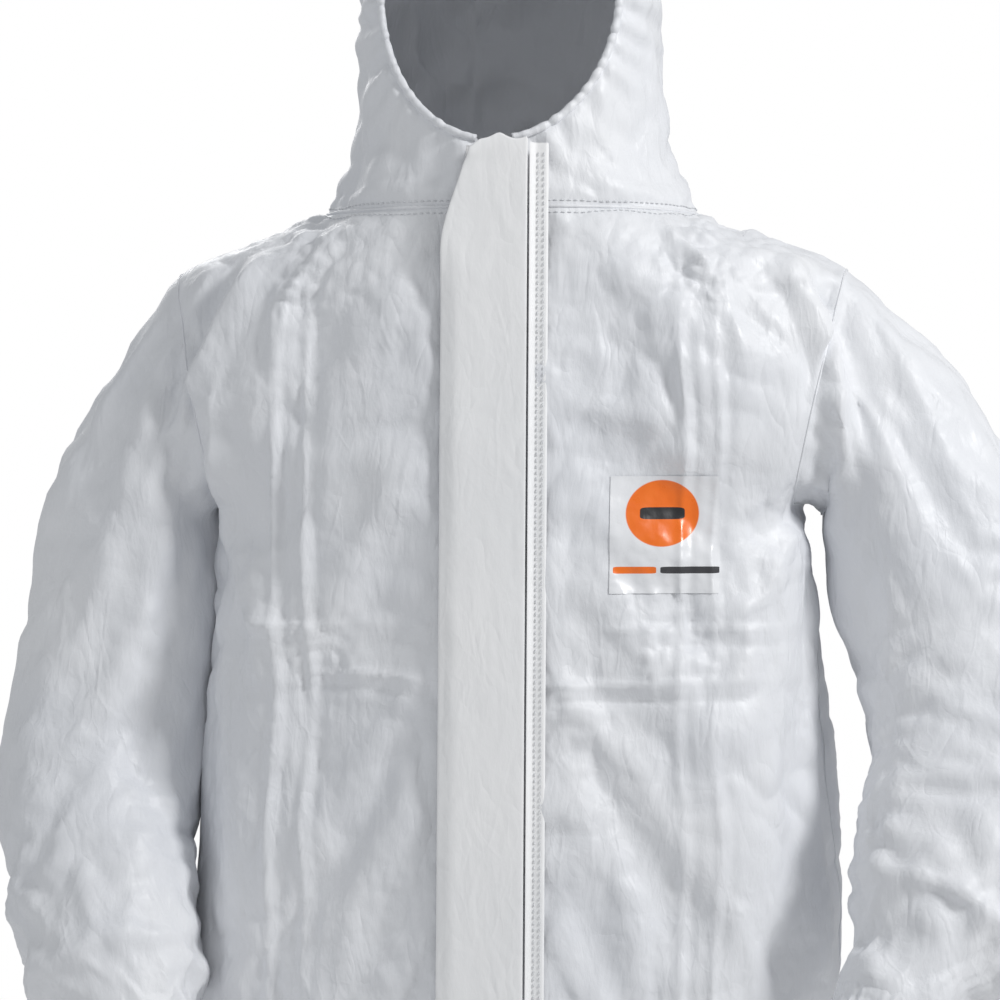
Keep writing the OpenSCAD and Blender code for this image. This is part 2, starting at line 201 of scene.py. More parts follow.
def apply_modifiers(o):
    mesh = bpy.data.meshes.new_from_object(o.evaluated_get(bpy.context.evaluated_depsgraph_get()))
    o.modifiers.clear()
    old, o.data = o.data, mesh
    bpy.data.meshes.remove(old)


def points(o, what="co"):
    a = np.empty(len(o.data.vertices) * 3, np.float32)
    o.data.vertices.foreach_get(what, a)
    return a.reshape(-1, 3).astype(float)


def set_points(o, co):
    o.data.vertices.foreach_set("co", co.astype(np.float32).ravel())
    o.data.update()


def solids_to_skin(name, parts, voxel):
    """One closed skin round several overlapping solids."""
    bm = bmesh.new()
    for o in parts:
        bm.from_mesh(o.data)
        bpy.data.objects.remove(o)
    mesh = bpy.data.meshes.new(name)
    bm.to_mesh(mesh)
    bm.free()
    o = new_object(name, mesh)
    remesh = o.modifiers.new("remesh", "REMESH")
    remesh.mode, remesh.voxel_size = "VOXEL", voxel
    ease = o.modifiers.new("ease", "SMOOTH")
    ease.factor, ease.iterations = 0.5, 3
    apply_modifiers(o)
    return o


def drape(o, pin, frames, grow, gravity, body_gap, cap, tension=25.0, bend=0.4):
    """Cloth simulation over a wearer's body: the skin itself, body_gap metres further in."""
    rest, normal = points(o), points(o, "normal")
    wearer = new_object("wearer", o.data.copy())
    set_points(wearer, rest - normal * body_gap[:, None])
    thin = wearer.modifiers.new("thin", "DECIMATE")
    thin.ratio = 0.16
    apply_modifiers(wearer)
    wearer.modifiers.new("collision", "COLLISION")
    wearer.collision.thickness_outer = 0.002
    wearer.collision.cloth_friction = 12
    group = o.vertex_groups.new(name="pin")
    for level in np.unique(np.round(pin, 2)):
        if level > 0:
            group.add(np.nonzero(np.round(pin, 2) == level)[0].tolist(), float(level), "REPLACE")
    cloth = o.modifiers.new("cloth", "CLOTH")
    s = cloth.settings
    s.quality, s.mass, s.air_damping = 4, 0.15, 3
    s.tension_stiffness = s.compression_stiffness = tension
    s.shear_stiffness, s.bending_stiffness = tension * 0.4, bend
    s.vertex_group_mass, s.pin_stiffness = "pin", 1
    s.shrink_min = s.shrink_max = -grow
    s.effector_weights.gravity = gravity
    cloth.collision_settings.distance_min = 0.003
    cloth.collision_settings.collision_quality = 1
    scene.frame_start, scene.frame_end, cloth.point_cache.frame_end = 1, frames, frames
    for f in range(1, frames + 1):
        scene.frame_set(f)
    apply_modifiers(o)
    scene.frame_set(1)
    o.vertex_groups.clear()
    bpy.data.objects.remove(wearer)
    move = points(o) - rest
    far = np.linalg.norm(move, axis=1)
    print("drape", o.name, "mean", round(far.mean() * 1000, 1), "max", round(far.max() * 1000, 1))
    move *= np.minimum(1, cap / np.maximum(far, 1e-9))[:, None]
    set_points(o, rest + move)


def refine(o, levels=1):
    sub = o.modifiers.new("sub", "SUBSURF")
    sub.levels = sub.render_levels = levels
    apply_modifiers(o)


# ---------- trunk: body, legs and hood in one skin ----------

ARM_MID = (242, 0, -135)


def make_trunk():
    rows = [*np.linspace(-700, -225, 70), *np.linspace(-220, -45, 36), *range(-40, 1, 4)]
    parts = [loft("body", [body_ring(z) for z in rows])]
    parts += [loft("leg", [leg_ring(z, side) for z in np.linspace(LEG_END_Z, -640, 60)]) for side in (1, -1)]
    dome = [DOME_Z + (CROWN_Z - DOME_Z) * sin(a) for a in np.linspace(0, pi / 2, 24)[1:-1]]
    parts.append(loft("hood", [hood_ring(z) for z in [*np.linspace(-12, DOME_Z, 24), *dome, CROWN_Z - 0.05]]))
    for arm, side in ((LEFT_ARM, 1), (RIGHT_ARM, -1)):
        rings = arm_rings(arm, 64)[:2]
        rings = [rings[0] - PLANE_N * 40, rings[0], rings[1] * 0.55 + rings[0] * 0.45]
        parts.append(loft("stub", [r * (side, 1, 1) for r in through(rings, 5)]))
    return solids_to_skin("trunk", parts, 0.0115)


def trunk_pin(co):
    x, y, z = co.T * 1000
    pin = np.zeros(len(co))
    pin[np.abs(z) < 8] = 0.75                                       # neck seam
    pin[(np.abs(x) < 46) & (y < 0) & (z < CHIN_Z + 12) & (z > -650)] = 1     # zip and flap facing
    pin[((x / (FACE_W + 6)) ** 2 + ((z - FACE_Z) / (FACE_H + 6)) ** 2 < 1) & (y < 0)] = 1
    pin[z < LEG_END_Z + 16] = 1                                     # ankles
    beyond = (np.abs(x) - 242) * PLANE_N[0] + (z + 135) * PLANE_N[2]
    pin[(beyond > 22) & (z > -215)] = 1                             # stub of the sleeve
    pin[(np.hypot(np.abs(x) - 222, z + 225) < 16) & (np.abs(y) < 30)] = 0.8
    pin[(y > 0) & (np.abs(z + 430) < 6) & (np.abs(x) < 200)] = 0.8  # waist elastic
    return pin


trunk = make_trunk()
co = points(trunk)
# The cloth hangs fuller at the sides than the CAD's shell, as in the photograph.
full = smooth((np.abs(co[:, 0]) - 0.12) / 0.08) * smooth((-0.222 - co[:, 2]) / 0.05) * smooth((co[:, 2] + 0.66) / 0.1)
co[:, 0] += np.sign(co[:, 0]) * full * np.where(co[:, 0] > 0, 0.018, 0.014)
set_points(trunk, co)
z_mm = co[:, 2] * 1000
gap = np.where(z_mm > 20, 12, np.where(z_mm > -60, 4, 15)) * MM
drape(trunk, trunk_pin(co), 26, 0.028, 0.35, gap, 0.024)
refine(trunk)


# ---------- creases left by packing, and crumples ----------

def ridge(d, width):
    """A sharp fold line: 1 on the line, 0 beyond the width."""
    return np.maximum(0, 1 - np.abs(d) / width) ** 1.6


def wobble(co, scale, seed):
    """Smooth noise at each point, about -1 to 1."""
    off = Vector((seed * 7.31, seed * 3.17, seed * 5.77))
    return np.array([noise.noise(Vector(p) * scale + off) for p in co])


def crumple(co, scale, seed):
    """Crumpled-paper height, 0 to 1: flat facets that meet in sharp ridges."""
    off = Vector((seed * 7.31, seed * 3.17, seed * 5.77))
    out = []
    for p in co:
        d, _ = noise.voronoi(Vector(p) * scale + off)
        out.append(d[1] - d[0])
    return np.clip(np.array(out), 0, 1)


FOLD_X = (-158, 153)                  # the packing folds down the front and back
FOLD_Z = (-356, -318)                 # and the ones across

# Folds pulled by the shoulders, as x, y, z points of the fold line, then height and width in millimetres
PULLS = [
    ([(-178, -60, -22), (-205, -70, -70), (-236, -66, -128), (-250, -60, -190)], 11.5, 15),
    ([(-198, -60, -26), (-226, -70, -78), (-252, -66, -132), (-262, -60, -190)], -12.0, 13),
    ([(-214, -90, -120), (-222, -100, -190), (-206, -110, -262)], 6.5, 12),
    ([(-228, -90, -215), (-196, -120, -300), (-150, -128, -352)], 6.5, 16),
    ([(208, -60, -24), (238, -74, -66), (258, -72, -120), (262, -66, -190)], 11.5, 15),
    ([(226, -60, -34), (256, -72, -80), (272, -70, -132), (276, -60, -190)], -12.0, 13),
    ([(250, -60, -130), (262, -90, -190), (240, -100, -270)], 8.5, 13),
    ([(236, -90, -214), (206, -118, -290), (165, -128, -330)], 6.5, 16),
    ([(120, -60, -6), (172, -80, -60), (190, -100, -120)], 5.0, 10),
    ([(-118, -60, -6), (-160, -80, -66), (-168, -100, -140)], 5.0, 10),
    ([(-178, 70, -22), (-215, 84, -90), (-240, 84, -180)], 9.0, 15),
    ([(178, 70, -22), (215, 84, -90), (240, 84, -180)], 9.0, 15),
    ([(-60, 110, -60), (-120, 130, -150), (-190, 120, -235)], 6.5, 18),
    ([(60, 110, -60), (120, 130, -150), (190, 120, -235)], 6.5, 18)]


def creases(co):
    """Height in metres, out of the surface, of packing folds and pulled folds at each point."""
    x, y, z = co.T * 1000
    h = np.zeros(len(co))
    shift = wobble(co, 9, 1) * 7
    down = smooth((z + 660) / 60) * smooth((-50 - z) / 60)
    for i, fx in enumerate(FOLD_X):
        strength = np.clip(0.75 + 0.8 * wobble(co, 12, 3 + i), 0.1, 1.4)
        for dx, height, w in ((-12, 3.4, 6.5), (-3, -2.2, 6), (14, 3.2, 5.5), (23, -1.8, 6.5)):
            h += height * strength * down * ridge(x - fx - dx - shift, w)
    across = smooth((235 - np.abs(x)) / 60) * smooth((np.abs(x) - 30) / 30)
    for i, fz in enumerate(FOLD_Z):
        strength = np.clip(0.6 + 1.2 * wobble(co, 12, 8 + i), 0, 1.3)
        h += across * strength * (3.2 * ridge(z - fz - shift, 7) - 2.4 * ridge(z - fz + 12 - shift, 6.5))
    for line, height, width in PULLS:
        line = np.array(line, float)
        front = (y < 12) if line[0][1] < 0 else (y > -12)
        t = (z - line[0][2]) / (line[-1][2] - line[0][2])
        order = np.argsort(line[:, 2])
        middle = np.interp(z, line[order, 2], line[order, 0])
        lean = np.interp(z, line[order, 2], np.gradient(line[order, 0], line[order, 2]))
        d = (x - middle - shift * 0.8) / np.sqrt(1 + lean ** 2)
        ends = smooth(t / 0.25) * smooth((1 - t) / 0.3) * front
        h += height * ends * (ridge(d, width * 1.6) - 0.25 * ridge(d + width * 1.3, width))
    return h * MM


def displace(o, heights):
    set_points(o, points(o) + points(o, "normal") * heights[:, None])



# ---------- cutting the skin into its panels ----------

def cut_face_hole(o):
    """Takes the face opening out of the closed skin, with a clean edge."""
    ring = [(FACE_W * sin(a), FACE_Z - FACE_H * cos(a)) for a in np.linspace(0, 2 * pi, 120, endpoint=False)]
    prism = loft("prism", [[(x, y, z) for x, z in ring] for y in (-260, -10)])
    for mesh, index in ((o.data, 0), (prism.data, 1)):
        mesh.materials.clear()
        for name in ("skin", "cutter"):
            mesh.materials.append(bpy.data.materials.get(name) or bpy.data.materials.new(name))
        for p in mesh.polygons:
            p.material_index = index
    hole = o.modifiers.new("hole", "BOOLEAN")
    hole.operation, hole.object, hole.solver = "DIFFERENCE", prism, "EXACT"
    apply_modifiers(o)
    bpy.data.objects.remove(prism)


def slice_at(bm, where, at, normal):
    faces = [f for f in bm.faces if where(*(f.calc_center_median() * 1000))]
    geom = list({v for f in faces for v in f.verts} | {e for f in faces for e in f.edges}) + faces
    bmesh.ops.bisect_plane(bm, geom=geom, dist=1e-6, plane_co=Vector(at) * MM, plane_no=Vector(normal))


def remove(bm, where):
    gone = [f for f in bm.faces if where(f)]
    bmesh.ops.delete(bm, geom=gone, context="FACES")


def centre(f):
    return f.calc_center_median() * 1000


def beyond_armhole(c):
    return (abs(c.x) - ARM_MID[0]) * PLANE_N[0] + (c.z - ARM_MID[2]) * PLANE_N[2] > 0.01 and c.z > ARMPIT[1]


def ring_of(pts, centre_at, u, v, n):
    """n points round a closed edge, at equal angles about centre_at, where angle 0 is along u."""
    p = np.array(pts)
    d = p - np.array(centre_at)
    a = np.arctan2(d @ np.array(v, float), d @ np.array(u, float)) % (2 * pi)
    order = np.argsort(a)
    a, p = a[order], p[order]
    at = np.linspace(0, 2 * pi, n, endpoint=False)
    a3 = np.concatenate((a - 2 * pi, a, a + 2 * pi))
    p3 = np.concatenate((p, p, p))
    return np.stack([np.interp(at, a3, p3[:, k]) for k in range(3)], 1)


cut_face_hole(trunk)
bm = bmesh.new()
bm.from_mesh(trunk.data)
remove(bm, lambda f: f.material_index == 1)
for side in (1, -1):
    slice_at(bm, lambda x, y, z: side * x > 150 and -300 < z < 10, (side * 242, 0, -135),
             (side * PLANE_N[0], 0, PLANE_N[2]))
    slice_at(bm, lambda x, y, z: side * x > 190 and -250 < z < -200, (0, 0, ARMPIT[1]), (0, 0, 1))
    slice_at(bm, lambda x, y, z: y < -60 and -620 < z < 70 and 0 < side * x < 40, (side * 12, 0, 0), (1, 0, 0))
    slice_at(bm, lambda x, y, z: z > -10 and (y > -40 or z > 240), (side * 45, 0, 0), (1, 0, 0))
slice_at(bm, lambda x, y, z: abs(z) < 30, (0, 0, 0), (0, 0, 1))
slice_at(bm, lambda x, y, z: abs(z - ZIP_END_Z) < 30 and y < -60 and abs(x) < 40, (0, 0, ZIP_END_Z - 4), (0, 0, 1))
slice_at(bm, lambda x, y, z: abs(z - LEG_TOP_Z) < 30, (0, 0, LEG_TOP_Z), (0, 0, 1))
slice_at(bm, lambda x, y, z: z < LEG_END_Z + 30, (0, 0, LEG_END_Z), (0, 0, 1))
slice_at(bm, lambda x, y, z: abs(x) < 30 and z < 5 and (y > 0 or z < ZIP_END_Z), (0, 0, 0), (1, 0, 0))
slice_at(bm, lambda x, y, z: abs(y) < 30 and z < 5, (0, 0, 0), (0, 1, 0))
remove(bm, lambda f: beyond_armhole(centre(f)))
remove(bm, lambda f: centre(f).z < LEG_END_Z)
remove(bm, lambda f: abs(centre(f).x) < 12 and centre(f).y < -60 and ZIP_END_Z - 4 < centre(f).z < CHIN_Z + 5)

edge = [np.array(v.co) * 1000 for v in bm.verts if v.is_boundary]
armholes = {side: [p for p in edge if side * p[0] > 190 and -240 < p[2] < -25] for side in (1, -1)}
face_edge = [p for p in edge if p[1] < 0 and p[2] > CHIN_Z - 1]
neck_edge = [np.array(v.co) * 1000 for v in bm.verts if abs(v.co.z) < 2e-6]


def panel_of(c):
    side = "left" if c.x > 0 else "right"
    if c.z > 0:
        return "hood_centre" if abs(c.x) < 45 and (c.y > -40 or c.z > 270) else "hood_" + side
    face = "front" if c.y < 0 else "back"
    return f"{'leg' if c.z < LEG_TOP_Z else 'body'}_{side}_{face}"


def split(bm):
    groups = {}
    for f in bm.faces:
        groups.setdefault(panel_of(centre(f)), []).append([v.index for v in f.verts])
    all_co = [v.co.copy() for v in bm.verts]
    out = {}
    for name, faces in groups.items():
        used = sorted({i for f in faces for i in f})
        index = {v: k for k, v in enumerate(used)}
        mesh = bpy.data.meshes.new(name)
        mesh.from_pydata([all_co[i] for i in used], [], [[index[i] for i in f] for f in faces])
        mesh.validate()
        out[name] = new_object(name, mesh)
    return out


bm.verts.index_update()
panels = split(bm)
bm.free()
bpy.data.objects.remove(trunk)


# ---------- sleeves ----------

def make_sleeve(name, arm, side):
    n = 64
    mirror = np.array((side, 1, 1))
    rings = arm_rings(arm, n)
    loop = ring_of(armholes[side], mirror * ARM_MID, mirror * -PLANE_U, (0, 1, 0), n) * mirror
    rows = through([loop, *rings[1:]], 8)
    o = loft(name, [r * mirror for r in rows], caps=False)
    pin = np.zeros(len(o.data.vertices))
    pin[:n] = 1
    pin[n:2 * n] = 0.6
    pin[-2 * n:] = 1
    drape(o, pin, 30, 0.05, 0.5, np.full(len(pin), 15 * MM), 0.026)
    co = points(o)
    for k in range(0, len(co), n):
        ring = co[k:k + n]
        inner = smooth((ring[:, 0].mean() - ring[:, 0]) * side / 0.06)
        at = smooth((-0.205 - ring[:, 2]) / 0.05) * smooth((ring[:, 2] + 0.60) / 0.14)
        reach = 0.012 + 0.014 * np.exp(-((ring[:, 2] + 0.40) / 0.10) ** 2) if side > 0 else 0.004
        ring[:, 0] -= side * inner * at * reach
    set_points(o, co)
    return o


sleeves = {"left": make_sleeve("sleeve_left", LEFT_ARM, 1), "right": make_sleeve("sleeve_right", RIGHT_ARM, -1)}


# ---------- fine crumples, on every panel ----------

CLUSTERS = [(-143, -30, 46), (157, -30, 50), (-132, -341, 44), (135, -322, 56), (150, -60, 30), (-150, -70, 28)]


def billow(co, scale, seed):
    """Creased height, 0 to 1: round swells that meet in long sharp valleys."""
    return np.abs(wobble(co, scale, seed)) * 1.8


def crinkles(o):
    co = points(o)
    x, y, z = co.T * 1000
    warp = np.stack([wobble(co, 11, 31), wobble(co, 11, 32), wobble(co, 11, 33)], 1) * 0.022
    long = (co + warp) * (1, 1, 0.42)
    patch = smooth(0.55 + 1.1 * wobble(co, 8, 21))
    patch2 = smooth(0.5 + 1.3 * wobble(co, 10, 22))
    h = 4.6 * (billow(long, 11, 41) - 0.3) + 3.4 * (billow(co + warp, 24, 42) - 0.3) * (0.3 + patch)
    h += 2.2 * (crumple(long, 30, 5) - 0.3) * patch + 1.5 * (crumple(co + warp * 0.5, 60, 6) - 0.3) * patch2
    h += 0.5 * (billow(co * (1, 1, 1.8), 95, 43) - 0.3) * patch2
    for cx, cz, r in CLUSTERS:
        near = smooth(1.15 - np.hypot(x - cx, (z - cz) * 0.8) / r) * (y < 0)
        h += near * (7.5 * (crumple(co + warp * 0.6, 34, 9) - 0.35) + 3.4 * (crumple(co, 78, 10) - 0.3))
    if o.name.startswith("hood"):
        out = np.hypot(x / FACE_W, (z - FACE_Z) / FACE_H) - 1
        a = np.arctan2(x, FACE_Z - z)
        rim_pull = smooth(1.15 - out / 0.45) * (y < 30)
        h += rim_pull * (1.5 * np.cos(34 * a + 3 * wobble(co, 12, 51)) + 1.0 * np.cos(21 * a + 4 * wobble(co, 9, 52)))
        low = smooth((70 - z) / 60) * smooth((z - 2) / 12)
        h += low * 3.2 * np.abs(np.sin(z / 9.5 + 2.6 * wobble(co, 10, 53) + np.abs(x) / 60)) - low * 1.6
    if o.name.startswith("body"):
        waist = np.exp(-((z + 430) / 34) ** 2) * (y > 0) * smooth((205 - np.abs(x)) / 30)
        h += waist * 3.0 * np.cos(x / 4.6 + 2.2 * wobble(co, 10, 54))
    if o.name.startswith("sleeve"):
        reach = smooth((np.abs(x) - 240) / 26)
        end = smooth((z - min(z) - 8) / 12) * np.exp(-((z - min(z)) / 70) ** 2)
        h = h * 1.1 * reach + end * 2.6 * np.sin(np.arctan2(y + 66, np.abs(x) - 350) * 17 + 2 * wobble(co, 9, 55))
    if o.name.startswith(("body", "sleeve")):
        h += creases(co) / MM
    mesh = o.data
    uses = {}
    for p in mesh.polygons:
        for k in p.edge_keys:
            uses[k] = uses.get(k, 0) + 1
    rim = sorted({v for k, c in uses.items() if c == 1 for v in k})
    if rim:
        tree = KDTree(len(rim))
        for i in rim:
            tree.insert(mesh.vertices[i].co, i)
        tree.balance()
        h *= smooth(np.array([tree.find(v.co)[2] for v in mesh.vertices]) / 0.008)
    displace(o, h * MM)


for o in [*panels.values(), *sleeves.values()]:
    refine(o)
    crinkles(o)
    o.data.materials.clear()
    for p in o.data.polygons:
        p.use_smooth = True


# ---------- front closure ----------

def zip_point(x, y, z):
    """A point of the zip's own frame: z up along it from its top, -y outwards."""
    a = radians(3)
    return (x, line_y(CHIN_Z - 10) + y * cos(a) + z * sin(a), CHIN_Z - 10 - y * sin(a) + z * cos(a))


def grid_object(name, rows):
    bm = bmesh.new()
    v = [[bm.verts.new(Vector(p) * MM) for p in row] for row in rows]
    for a, b in zip(v, v[1:]):
        for i in range(len(a) - 1):
            bm.faces.new((a[i], a[i + 1], b[i + 1], b[i]))
    mesh = bpy.data.meshes.new(name)
    bm.to_mesh(mesh)
    bm.free()
    for p in mesh.polygons:
        p.use_smooth = True
    return new_object(name, mesh)


def thicken(o, t):
    solid = o.modifiers.new("solid", "SOLIDIFY")
    solid.thickness, solid.offset = t, 0
    apply_modifiers(o)


FLAP_X, FLAP_W, FLAP_TOP, FLAP_END = 27, 66, 15, -652


def flap_rows():
    rows = []
    for z in np.linspace(FLAP_END, FLAP_TOP, 150):
        lean = 22 * float(smooth((z + 75) / 95))
        row = []
        for u in np.linspace(0, 1, 16):
            wave = noise.noise(Vector((u * 1.2, z * 0.011, 3.1))) * 1.6
            wave += noise.noise(Vector((u * 3, z * 0.03, 9.4))) * 0.5
            dip = 4.0 * float(smooth((u - 0.8) / 0.2)) * (1 - float(smooth((z + 120) / 60)))
            y = -9.4 + dip + min(wave, 0.2) * (0.25 + 0.75 * u)
            top = smooth((z - FLAP_TOP + 26) / 26)
            y -= 3.5 * float(top) * u
            drop = 5.5 * float(top) * abs(sin(u * 5.2 + 0.6)) + (9 * float(top) * float(smooth((u - 0.8) / 0.2)))
            row.append(zip_point(FLAP_X - FLAP_W * u + lean * u, y, z - drop))
        rows.append(row)
    return rows


rows = flap_rows()
tape_rows = [[np.array(row[i]) + (0, 1.1, 0) for i in (10, 11, 12)] for row in rows[4:-14]]
flap = grid_object("flap", rows)
thicken(flap, 1.0 * MM)
refine(flap)
flap_tape = grid_object("flap_tape_strip", tape_rows)
thicken(flap_tape, 0.5 * MM)

facing_rows = []
for z in np.linspace(FLAP_END, FLAP_TOP - 8, 150):
    ripple = noise.noise(Vector((1.7, z * 0.02, 0.4))) * 0.5
    profile = ((28.3, -8.4), (29.2, -8.2), (29.9, -6.6), (30.6, -3.6), (32.5, -2.0 - ripple), (36, -1.9 + ripple),
               (40.2, -1.9), (41.2, -1.2), (41.8, -0.2))
    facing_rows.append([zip_point(x, y, z) for x, y in profile])
facing = grid_object("facing", facing_rows)
refine(facing)


# ---------- gathered hems at the wrists, ankles and face ----------

def gathers(a, seed):
    """Uneven ruffles round a gathered edge, -1 to 1."""
    return 0.42 * cos(31 * a + seed) + 0.34 * cos(23 * a + 2.3 * seed) + 0.24 * cos(43 * a + 4.1 * seed)


def gathered_cuff(name, end, f, u, v, radius, length, band, seed, n=240):
    """Hem turned over a round elastic: outer skin down to the edge, then back up inside."""
    profile = [(-11, 1.4, 0.1), (-4, 1.6, 0.4), (3, 1.0, 0.7), (band[0] - 1, -0.6, 0.9), (band[0], -1.3, 0.8),
               (sum(band) / 2, -1.2, 0.9),
               (band[1], -1.3, 0.8), (band[1] + 1, -0.6, 0.9), (length - 3, 0.9, 1.3), (length, 0.6, 1.4),
               (length + 0.6, -0.3, 1.3), (length - 1, -1.1, 1.1), (band[1] + 1, -2.0, 0.5), (band[0], -2.2, 0.4)]
    rings = []
    for t, dr, ruffle in profile:
        ring = []
        for a in np.linspace(0, 2 * pi, n, endpoint=False):
            r = radius + dr + ruffle * gathers(a, seed) * 1.1
            ring.append(end + f * (t + 0.5 * gathers(a, seed + 2)) + (u * cos(a) + v * sin(a)) * r)
        rings.append(ring)
    o = loft(name, rings, caps=False)
    refine(o)
    for p in o.data.polygons:
        p.use_smooth = True
    return o


cuffs = {}
for side_name, arm, side, seed in (("left", LEFT_ARM, 1, 1.0), ("right", RIGHT_ARM, -1, 2.7)):
    mirror = np.array((side, 1, 1))
    f = unit(np.array(arm[-1], float) - arm[-2])
    v = unit(np.array((0, 1, 0)) - f * f[1])
    u = -np.cross(f, v)
    cuffs["wrist_" + side_name] = gathered_cuff(
        "wrist_cuff_" + side_name, np.array(arm[-1]) * mirror, f * mirror, u * mirror, v * mirror,
        41.6, 26, (8, 18), seed)
    end = np.array((side * look(LEG_X, LEG_END_Z), look(LEG_Y, LEG_END_Z), LEG_END_Z))
    cuffs["ankle_" + side_name] = gathered_cuff(
        "ankle_cuff_" + side_name, end, np.array((0, 0, -1.0)), np.array((1.0, 0, 0)), np.array((0, 1.0, 0)),
        56.4, 27, (8, 20), seed + 0.8, 300)


def tube(name, path, radius, sides=10, closed=True):
    """A round tube along a path. radius is a number, or one for each point."""
    p = np.array(path, float)
    radii = np.broadcast_to(np.array(radius, float), len(p))
    ahead = np.roll(p, -1, 0) - np.roll(p, 1, 0)
    if not closed:
        ahead[0], ahead[-1] = p[1] - p[0], p[-1] - p[-2]
    bm = bmesh.new()
    rings = []
    for c, t, r in zip(p, ahead, radii):
        t = unit(t)
        u = unit(np.cross(t, (0.13, 0.97, 0.21)))
        v = np.cross(t, u)
        rings.append([bm.verts.new(Vector(c + (u * cos(a) + v * sin(a)) * r) * MM)
                      for a in np.linspace(0, 2 * pi, sides, endpoint=False)])
    for k in range(len(rings) - (0 if closed else 1)):
        a, b = rings[k], rings[(k + 1) % len(rings)]
        for i in range(sides):
            bm.faces.new((a[i], a[(i + 1) % sides], b[(i + 1) % sides], b[i]))
    if not closed:
        bm.faces.new(rings[0])
        bm.faces.new(rings[-1])
    bmesh.ops.recalc_face_normals(bm, faces=bm.faces)
    mesh = bpy.data.meshes.new(name)
    bm.to_mesh(mesh)
    bm.free()
    for q in mesh.polygons:
        q.use_smooth = True
    return new_object(name, mesh)


face_ring = ring_of(face_edge, (0, 0, FACE_Z), (0, 0, -1), (1, 0, 0), 420)
turn = np.linspace(0, 2 * pi, 420, endpoint=False)
keep = [i for i in range(420) if not (abs(face_ring[i][0]) < 14 and face_ring[i][2] < FACE_Z)]
first = next(k for k in range(len(keep)) if face_ring[keep[k]][0] > 0)
keep = keep[first:] + keep[:first]
ruffle = np.array([gathers(turn[i] * 2, 5.1) for i in keep])
hem_path = face_ring[keep] + np.stack([0 * ruffle, -0.9 * ruffle - 0.6, 0 * ruffle], 1)
face_hem = tube("face_edge_hem", hem_path, 3.1 + 0.55 * ruffle, 12, closed=False)


# ---------- seams and stitches ----------

def joined(name, parts):
    bm = bmesh.new()
    for o in parts:
        bm.from_mesh(o.data)
        bpy.data.objects.remove(o)
    mesh = bpy.data.meshes.new(name)
    bm.to_mesh(mesh)
    bm.free()
    for p in mesh.polygons:
        p.use_smooth = True
    return new_object(name, mesh)


def along(path, step):
    """Points and directions every step millimetres along a path."""
    p = np.array(path, float)
    length = np.concatenate(([0], np.cumsum(np.linalg.norm(np.diff(p, axis=0), axis=1))))
    at = np.arange(step / 2, length[-1], step)
    c = np.stack([np.interp(at, length, p[:, k]) for k in range(3)], 1)
    d = np.stack([np.interp(at + 0.5, length, p[:, k]) for k in range(3)], 1) - c
    return [(a, unit(b)) for a, b in zip(c, d) if np.linalg.norm(b) > 1e-6]


def stitches(name, path, step=5.2, length=3.4, r=0.42, out=None):
    """A row of separate thread stitches, each a short bead with its ends down in the cloth."""
    bm = bmesh.new()
    for c, d in along(path, step):
        n = unit(out(c)) if out else np.array((0, -1.0, 0))
        side = unit(np.cross(d, n))
        rings = []
        for t, h, k in ((-0.5, -0.35, 0.6), (-0.36, 0.25, 1), (0, 0.42, 1.1), (0.36, 0.25, 1), (0.5, -0.35, 0.6)):
            m = c + d * t * length + n * h
            rings.append([bm.verts.new(Vector(m + (side * cos(a) + n * sin(a)) * r * k) * MM)
                          for a in np.linspace(0, 2 * pi, 6, endpoint=False)])
        for a, b in zip(rings, rings[1:]):
            for i in range(6):
                bm.faces.new((a[i], a[(i + 1) % 6], b[(i + 1) % 6], b[i]))
    bmesh.ops.recalc_face_normals(bm, faces=bm.faces)
    mesh = bpy.data.meshes.new(name)
    bm.to_mesh(mesh)
    bm.free()
    for p in mesh.polygons:
        p.use_smooth = True
    return new_object(name, mesh)


def up_and_out(c):
    return np.array((c[0], c[1], 70.0))


neck = ring_of(neck_edge, (0, 0, 0), (0, -1, 0), (1, 0, 0), 400)
neck = np.array([p for p in neck if not (abs(p[0]) < 13 and p[1] < 0)])
neck_welt = tube("neck_seam", neck + [up_and_out(p) / 300 * 0.2 for p in neck], 1.35, 8, closed=False)
trunk_tree = BVHTree.FromPolygons(
    *(lambda ps: ([v.co for o in ps for v in o.data.vertices],
                  [[i + s for i in p.vertices] for o, s in zip(ps, np.cumsum([0] + [len(o.data.vertices) for o in ps]))
                   for p in o.data.polygons]))([o for k, o in panels.items()]))


def on_skin(path, lift=0.25):
    out = []
    for p in path:
        hit, normal, _, _ = trunk_tree.find_nearest(Vector(p) * MM)
        centre_line = Vector((0, 0, hit.z))
        if normal.dot(hit - centre_line) < 0:
            normal = -normal
        out.append(np.array(hit + normal * lift * MM) * 1000)
    return np.array(out)


below = on_skin(neck * (1.03, 1.02, 1) + np.array((0, 0, -4.5)))
neck_stitches = stitches("neck_stitches", below, out=up_and_out)
above = on_skin(neck * (0.995, 0.995, 1) + np.array((0, 0, 4.5)))
hood_stitches = stitches("hood_stitches", above, out=up_and_out)

armhole_welts = {}
for side_name, side in (("left", 1), ("right", -1)):
    mirror = np.array((side, 1, 1))
    loop = ring_of(armholes[side], mirror * ARM_MID, mirror * -PLANE_U, (0, 1, 0), 220)
    armhole_welts[side_name] = tube("armhole_seam_" + side_name, loop, 0.95, 8)


def seam_line(name, pts, r=0.8):
    return tube(name, on_skin(pts, 0.15), r, 8, closed=False)


